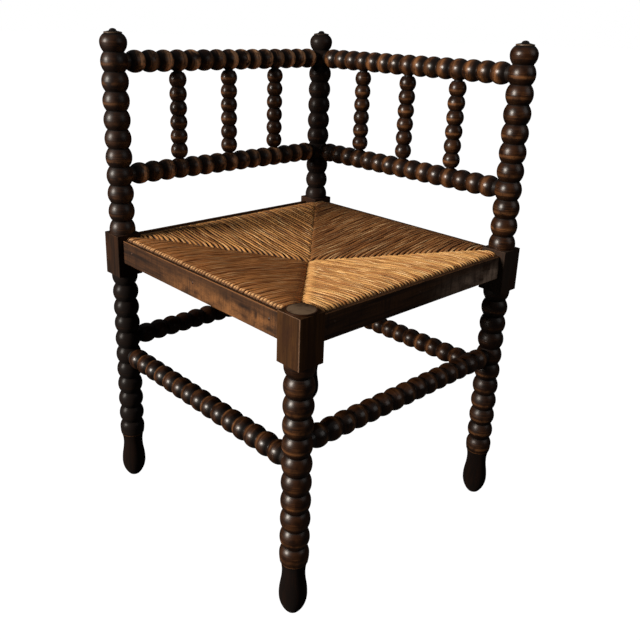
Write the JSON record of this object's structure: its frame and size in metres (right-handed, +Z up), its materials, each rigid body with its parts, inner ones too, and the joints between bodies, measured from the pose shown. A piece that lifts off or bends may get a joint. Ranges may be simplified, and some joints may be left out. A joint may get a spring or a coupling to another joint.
{
  "type": "corner chair",
  "caption": "Square corner chair in ball-turned dark oak with spindle backs on adjoining sides, staggered stretchers, club feet and a sagging rush seat.",
  "frame": {"origin": "on the floor under the centre of the seat", "axes": "+Z up, the front post at -X -Y and the back post at +X +Y, the sides of the seat along X and Y"},
  "size_m": [0.472, 0.472, 0.7654],
  "materials": {
    "oak": "dark stained and waxed oak, worn brown on the crown of each ball",
    "rail_oak": "plain unstained oak, hidden in the rush",
    "strip_oak": "brown stained board, scuffed",
    "rush": "twisted dry rush, golden to brown",
    "nail_iron": "rusted wire nail"
  },
  "bodies": {
    "root": {"front_post": "oak", "left_post": "oak", "right_post": "oak", "back_post": "oak", "top_rail_left": "oak", "top_rail_right": "oak", "lower_rail_left": "oak", "lower_rail_right": "oak", "spindle_left_1": "oak", "spindle_left_2": "oak", "spindle_left_3": "oak", "spindle_right_1": "oak", "spindle_right_2": "oak", "spindle_right_3": "oak", "stretcher_front_left": "oak", "stretcher_front_right": "oak", "stretcher_back_left": "oak", "stretcher_back_right": "oak", "seat_rail_front_left": "rail_oak", "seat_rail_front_right": "rail_oak", "seat_rail_back_left": "rail_oak", "seat_rail_back_right": "rail_oak", "edging_strip_front_left": "strip_oak", "edging_strip_front_right": "strip_oak", "edging_strip_back_left": "strip_oak", "edging_strip_back_right": "strip_oak", "rush_seat": "rush", "strip_nails": "nail_iron"}
  },
  "joints": []
}
